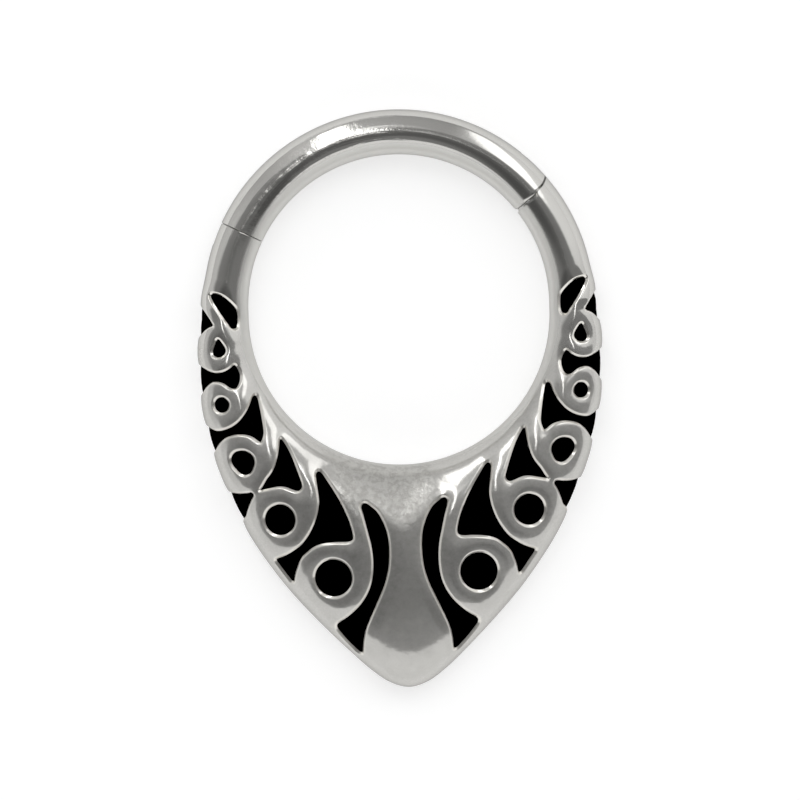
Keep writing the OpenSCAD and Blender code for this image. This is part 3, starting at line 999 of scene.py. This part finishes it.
def carve(bm, tool, operation):
    """Cuts a tool's shape out of a mesh, or adds it, and returns the new mesh."""
    pieces = []
    for name, source in (("work", bm), ("tool", tool)):
        bmesh.ops.recalc_face_normals(source, faces=source.faces)
        mesh = bpy.data.meshes.new(name)
        source.to_mesh(mesh)
        source.free()
        pieces.append(add_object(name, mesh))
    boolean = pieces[0].modifiers.new("boolean", "BOOLEAN")
    boolean.operation = operation
    boolean.object = pieces[1]
    boolean.solver = "EXACT"
    evaluated = pieces[0].evaluated_get(bpy.context.evaluated_depsgraph_get())
    shaped = bpy.data.meshes.new_from_object(evaluated)
    result = bmesh.new()
    result.from_mesh(shaped)
    for mesh in (pieces[0].data, pieces[1].data, shaped):
        bpy.data.meshes.remove(mesh)
    return result


def plate(stand, width, start, end, thickness, round_r=0):
    """A plate across the wire, from start to end along it, with a half-round end if asked."""
    bm = bmesh.new()
    bmesh.ops.create_cube(bm, size=1)
    bmesh.ops.scale(bm, vec=(width, end - start, thickness), verts=bm.verts)
    bmesh.ops.translate(bm, vec=(0, (start + end) / 2, 0), verts=bm.verts)
    if round_r:
        far = [
            e for e in bm.edges if all(v.co.y > (start + end) / 2 for v in e.verts)
            and abs(e.verts[0].co.z - e.verts[1].co.z) > thickness / 2
        ]
        bmesh.ops.bevel(
            bm, geom=far, offset=round_r * HALF_ROUND, offset_type="OFFSET", segments=ROUND_SEGMENTS,
            profile=0.5, affect="EDGES", material=-1,
        )
    bmesh.ops.transform(bm, matrix=stand, verts=bm.verts)
    return bm


def bar(stand, r, length):
    """A round bar."""
    bm = bmesh.new()
    bmesh.ops.create_cone(bm, cap_ends=True, segments=RING_POINTS, radius1=r, radius2=r, depth=length)
    bmesh.ops.transform(bm, matrix=stand, verts=bm.verts)
    return bm


def close_start(bm):
    """Closes a wire's open start for a cut."""
    ring = [e for e in bm.edges if len(e.link_faces) == 1]
    bmesh.ops.contextual_create(bm, geom=ring)


def open_start(bm, angle):
    """Takes the closing face at an angle out again."""
    here = seam_frame(angle).inverted()
    closing = [f for f in bm.faces if all(abs((here @ v.co).y) < ON_CUT for v in f.verts)]
    bmesh.ops.delete(bm, geom=closing, context="FACES")


def eased(x, start, end):
    """0 at start and 1 at end, smooth in between."""
    t = min(max((x - start) / (end - start), 0), 1)
    return t * t * (3 - 2 * t)


def stepped(x):
    """1 on the hole's side of the hinge's seam and 0 on the outer side."""
    return eased(x, STEP_TO, STEP_FROM)


def segment_end(x):
    """How far the segment's end stands along the wire. It is round about the pin outside."""
    knuckle = WIRE_R - math.sqrt(max(WIRE_R**2 - (x - PIN_OUT) ** 2, 0)) if x > PIN_OUT else 0
    return knuckle - STEP_L * stepped(x)


def segment_profile(x):
    """The segment's bevelled end at the hinge."""
    return bevelled(LIP + LIP_LONGER * stepped(x), LIP + LIP_DEEPER * stepped(x))


def seam_gap(x):
    """Width of the hinge's seam."""
    middle = math.exp(-(((x - SEAM_MIDDLE) / SEAM_MIDDLE_W) ** 2))
    return SEAM_GAP + SEAM_GAP_STEPPED * stepped(x) + SEAM_GAP_MIDDLE * middle


def body_end(x):
    """How far the lip of the body's end stands along the wire."""
    return segment_end(x) - seam_gap(x)


def body_profile(x):
    """The body's bevelled lip, and the neck from it to the segment."""
    bevel = BODY_LIP - BODY_LIP_LESS * stepped(x)
    under = NECK_RIM + (NECK_IN - NECK_RIM) * eased(x, NECK_RIM_TO, NECK_IN_FROM)
    return bevelled(bevel, bevel) + [(0, under), (NECK_GAP - seam_gap(x), under)]


def catch_profile(x):
    """The body's bevelled end at the catch."""
    return bevelled(*(CATCH_TOP_BEVEL if CATCH_TOP_FROM < x < CATCH_TOP_TO else CATCH_BEVEL))


hinge_frame = seam_frame(HINGE_ANGLE)
pin_frame = hinge_frame @ Matrix.Translation((PIN_OUT, WIRE_R, 0))
catch_frame = seam_frame(CATCH_ANGLE)

right_arm = bmesh.new()
ring = wire_ring(right_arm, ARM_START)
ring = run_wire(right_arm, ring, HINGE_ANGLE - BODY_HINGE_TURN - ARM_START)
end_wire(right_arm, ring, HINGE_ANGLE, 1, body_end, body_profile)
close_start(right_arm)
tongue_frame = hinge_frame @ Matrix.Translation((PIN_OUT - TONGUE_R + WIRE_R, 0, 0))
tongue = plate(tongue_frame, WIRE_D, -TONGUE_ROOT, WIRE_R, TONGUE_T)
tongue = carve(tongue, bar(pin_frame, TONGUE_R, TONGUE_T), "UNION")
envelope = bmesh.new()
ring = wire_ring(envelope, HINGE_ANGLE - TONGUE_BACK_TURN, WIRE_R - TONGUE_INSET)
run_wire(envelope, ring, TONGUE_TURN)
bmesh.ops.holes_fill(envelope, edges=envelope.edges)
tongue = carve(tongue, envelope, "INTERSECT")
right_arm = carve(right_arm, tongue, "UNION")
right_arm = carve(right_arm, bar(pin_frame, PIN_D / 2 + JOINT_GAP, REACH_OUT), "DIFFERENCE")
open_start(right_arm, ARM_START)

left_arm = bmesh.new()
ring = wire_ring(left_arm, 180 - ARM_START)
ring = run_wire(left_arm, ring, CATCH_ANGLE + BODY_CATCH_TURN - (180 - ARM_START))
end_wire(left_arm, ring, CATCH_ANGLE, -1, lambda x: 0, catch_profile)
close_start(left_arm)
slot_frame = catch_frame @ Matrix.Translation((REACH_OUT / 2 - BLADE_W / 2 - JOINT_GAP, 0, 0))
slot = plate(slot_frame, REACH_OUT, -SLOT_BACK, BLADE_L + NOSE_ROOM, BLADE_T + 2 * JOINT_GAP)
left_arm = carve(left_arm, slot, "DIFFERENCE")
open_start(left_arm, 180 - ARM_START)

for arm in (right_arm, left_arm):
    arm_mesh = bpy.data.meshes.new("arm")
    arm.to_mesh(arm_mesh)
    arm.free()
    body_mesh.from_mesh(arm_mesh)
    bpy.data.meshes.remove(arm_mesh)
bmesh.ops.remove_doubles(body_mesh, verts=body_mesh.verts, dist=MERGE)
bmesh.ops.recalc_face_normals(body_mesh, faces=body_mesh.faces)


def on_wire(point):
    """The wire's outward normal at a point on its round surface, or None elsewhere."""
    place = point - CENTRE
    reach = math.hypot(place.x, place.y)
    x, z = reach - RING_R, place.z - WIRE_R
    below = place.y < -RING_R * math.cos(math.radians(SHIELD_END))
    if below or abs(math.hypot(x, z) - WIRE_R) > ON_WIRE:
        return None
    return (place.x / reach * x / WIRE_R, place.y / reach * x / WIRE_R, z / WIRE_R)


def finish_piece(name, bm, look, body, node):
    """Turns a mesh in millimetres into a piece that rides on a body and stands for a CAD node."""
    polish = bm.verts.layers.float_vector.get("polish")
    front = bm.faces.layers.int.get("front")
    for face in bm.faces:
        face.smooth = True
    for edge in bm.edges:
        if len(edge.link_faces) == 2 and edge.calc_face_angle(0) > SHARP:
            if not front or not all(face[front] for face in edge.link_faces):
                edge.smooth = False
    normals = []
    for face in bm.faces:
        radials = [on_wire(v.co) for v in face.verts]
        for loop, radial in zip(face.loops, radials):
            if front and face[front]:
                normals.append(tuple(loop.vert[polish]))
            else:
                normals.append(radial if all(radials) else (0, 0, 0))
    if polish:
        bm.verts.layers.float_vector.remove(polish)
    bmesh.ops.scale(bm, vec=(MM, MM, MM), verts=bm.verts)
    mesh = bpy.data.meshes.new(name)
    bm.to_mesh(mesh)
    bm.free()
    mesh.normals_split_custom_set(normals)
    mesh.materials.append(look)
    piece = add_object(name, mesh)
    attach(piece, body)
    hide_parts(node)


# Polished steel: a mirror finish with hairlines along the wire. The shield, which is harder to
# reach, keeps more haze and the fine pits of the casting. Its colour also carries painted light:
# a cream highlight along the cells' edges and a lighter tone on the wire's side towards the hole.
# Places are in metres.
STEEL = (0.59, 0.582, 0.558, 1)
STEEL_DULL = (0.45, 0.442, 0.42, 1)
# Painted light: a lighter steel colour for the wire's side towards the hole
STEEL_PAINTED_LIGHT = (0.7, 0.695, 0.67, 1)
# Painted highlight: a cream steel colour along the cells' edges
STEEL_PAINTED_HIGHLIGHT = (0.8, 0.78, 0.73, 1)
STEEL_EDGE = 0.55
HAZE_ROUGHNESS = 0.5
BUMP_HEIGHT = 0.000004
# The shield below the hole's middle, along Y
SHIELD_FROM = (0.001, -0.003)
# The worn patch at the shield's top: its left and right side along X and its foot along Y
WORN_LEFT = (-0.0024, -0.0016)
WORN_RIGHT = (0.0009, 0.0006)
WORN_FOOT = (-0.0064, -0.0052)
# The scratched stretch of the wire, in radians about the hole's upper centre
SCRATCHED_FROM = (1.42, 1.62)
SCRATCHED_TO = (2.9, 2.6)
# The wire's side towards the hole, by its distance from that centre
HOLE_SIDE = (0.00436, 0.00426)
# Noise: cells a metre, and for the hairlines cells a radian too
WAVE_SCALE = 2600.0
PIT_SCALE = 7500.0
PATCH_SCALE = 2500.0
LINE_SCALE = 14000
LINES_A_RADIAN = 3


def mix(factor, under, over):
    """A colour between two."""
    return add_node(
        factor.tree, "ShaderNodeMix", {"data_type": "RGBA"}, out=2, Factor=factor, _6=under, _7=over,
    )


def noise(vector, scale, detail, roughness):
    return add_node(
        vector.tree, "ShaderNodeTexNoise", _0=vector, Scale=scale, Detail=detail, Roughness=roughness,
    )


steel, tree, mirror = new_look("polished_steel")
place = add_node(tree, "ShaderNodeTexCoord", out=3)
at_x, at_y, at_z = axes(tree, place)
up = at_y - HOLE_STRETCH / 2 * MM
reach = (at_x * at_x + up * up).math("SQRT")
around = up.math("ARCTAN2", at_x)
drawn = add_node(
    tree, "ShaderNodeCombineXYZ", X=reach * LINE_SCALE, Y=around * LINES_A_RADIAN, Z=at_z * LINE_SCALE,
)
lines = noise(drawn, 1.0, 2.0, 0.6)
waves = noise(place, WAVE_SCALE, 4.0, 0.6)
pits = noise(place, PIT_SCALE, 3.0, 0.6)
patches = noise(place, PATCH_SCALE, 4.0, 0.7)

on_shield = step(at_y, *SHIELD_FROM)
worn_top = on_shield * step(at_x, *WORN_LEFT) * step(at_x, *WORN_RIGHT) * step(at_y, *WORN_FOOT)
scratched = step(around, *SCRATCHED_FROM) * step(around, *SCRATCHED_TO)
hole_side = step(reach, *HOLE_SIDE)
spots = step(patches, 0.35, 0.65) * 0.15 * on_shield
blots = step(pits, 0.38, 0.62) * 0.8 * worn_top
# How near a cell's edge each point lies, which sets the painted highlight there
painted_rim_highlight = add_node(tree, "ShaderNodeAttribute", {"attribute_name": "rim"}, out=2)
colour = mix(spots + blots, STEEL, STEEL_DULL)
# Painted light: the side towards the hole gets a lighter colour, for the light band along it
colour = mix(hole_side * 0.7, colour, STEEL_PAINTED_LIGHT)
# Painted highlight: the cells' edges get a brighter cream colour in place of the light that their bevels
# catch
colour = mix(painted_rim_highlight, colour, STEEL_PAINTED_HIGHLIGHT)

wave_height = waves * (0.4 + 0.6 * on_shield + 1.4 * scratched)
line_height = lines * (1 - hole_side) * (0.2 * (1 - on_shield) + 1.4 * scratched)
pit_height = pits * (0.15 * on_shield + 2.2 * worn_top)
height = wave_height + line_height + pit_height
bump = add_node(tree, "ShaderNodeBump", Height=height, Strength=1.0, Distance=BUMP_HEIGHT)
finish = {"Base_Color": colour, "Metallic": 1.0, "Specular_Tint": grey(STEEL_EDGE), "Normal": bump}
feed(tree, mirror, Roughness=0.07 + 0.06 * patches + 0.15 * worn_top + 0.2 * hole_side, **finish)
haze = add_node(tree, "ShaderNodeBsdfPrincipled", Roughness=HAZE_ROUGHNESS, **finish)
hazy = 0.03 + 0.42 * on_shield + 0.2 * worn_top + 0.6 * hole_side
blend = add_node(
    tree, "ShaderNodeMixShader", _0=hazy * (0.4 + 1.2 * patches), _1=Sock(tree, mirror.outputs[0]), _2=haze,
)
feed(tree, tree.nodes["Material Output"], Surface=blend)
finish_piece("shield_body", body_mesh, steel, "body", "body")


# Segment: the round wire that closes the hoop. It turns on the hinge pin between its two
# cheeks, and its flat blade enters the catch. Polished steel, one piece.
CATCH_GAP = 0.006

segment_mesh = bmesh.new()
first = wire_ring(segment_mesh, HINGE_ANGLE + SEGMENT_HINGE_TURN)
last = run_wire(
    segment_mesh, first, CATCH_ANGLE - SEGMENT_CATCH_TURN - (HINGE_ANGLE + SEGMENT_HINGE_TURN),
)
first = [e for e in segment_mesh.edges if len(e.link_faces) == 1 and e not in set(last)]
end_wire(segment_mesh, last, CATCH_ANGLE, 1, lambda x: -CATCH_GAP, lambda x: bevelled(*CATCH_BEVEL))
end_wire(segment_mesh, first, HINGE_ANGLE, -1, segment_end, segment_profile)
fork_frame = hinge_frame @ Matrix.Translation((PIN_OUT - TONGUE_R - JOINT_GAP + REACH_OUT / 2, 0, 0))
fork = plate(fork_frame, REACH_OUT, -FORK_BACK, WIRE_R + TONGUE_R + JOINT_GAP, TONGUE_T + JOINT_GAP)
segment_mesh = carve(segment_mesh, fork, "DIFFERENCE")
blade = plate(catch_frame, BLADE_W, -BLADE_ROOT, BLADE_L, BLADE_T, BLADE_W / 2)
segment_mesh = carve(segment_mesh, blade, "UNION")
finish_piece("wire_segment", segment_mesh, steel, "segment", "segment")


# Hinge pin: a plain round pin through the segment's cheeks and the tongue, cut off and
# polished away just under the wire's surface. Same steel.
PIN_L = 0.76

finish_piece("round_pin", bar(pin_frame, PIN_D / 2, PIN_L), steel, "segment", "hinge_pin")


# Enamel: black resin enamel in each cell of the shield. It is poured in and ground nearly
# level with the metal, which the polishing then wears down a little beside it.
ENAMEL_INSET = 0.008
ENAMEL_DROP = 0.008
ENAMEL_T = 0.26
# Share of the shoulders' full depth that the enamel keeps in the middle of a wide cell
ENAMEL_LEVEL = 0.45
ENAMEL_ROUGHNESS = 0.35

enamel, tree, shader = new_look("black_enamel")
feed(tree, shader, Base_Color=grey(0), Roughness=ENAMEL_ROUGHNESS, Specular_IOR_Level=0.0)


def enamel_side(first, last):
    """The enamel of the cells from first to last, as closed pieces in one mesh."""
    chosen = SHEET_FACES[(SHEET_CELL >= first) & (SHEET_CELL < last)]
    points = np.unique(chosen)
    index = np.full(len(SHEET), -1)
    index[points] = np.arange(len(points))
    flat = SHEET[points] - RIM_OUT[points] * ENAMEL_INSET
    normal = facing(flat)
    smooth = lift(flat)
    sunk = shoulder(smooth)
    sunk = np.maximum(sunk, ENAMEL_LEVEL * SHOULDER_H + (1 - ENAMEL_LEVEL) * sunk)
    top = smooth - normal * (sunk + BEVEL_H + ENAMEL_DROP)[:, None]
    under = top - normal * ENAMEL_T
    faces = index[chosen].tolist()
    faces += (len(points) + index[chosen[:, ::-1]]).tolist()
    uses = {(a, b): True for face in chosen for a, b in zip(face, np.roll(face, -1))}
    for a, b in uses:
        if (b, a) not in uses:
            faces.append([index[b], index[a], len(points) + index[a], len(points) + index[b]])
    bm = to_bmesh(np.concatenate([top, under]), faces)
    bmesh.ops.recalc_face_normals(bm, faces=bm.faces)
    return bm


for side, first in (("left", 0), ("right", SIDE_CELLS)):
    cells = enamel_side(first, first + SIDE_CELLS)
    finish_piece(f"enamel_fill_{side}", cells, enamel, "body", f"enamel_{side}")
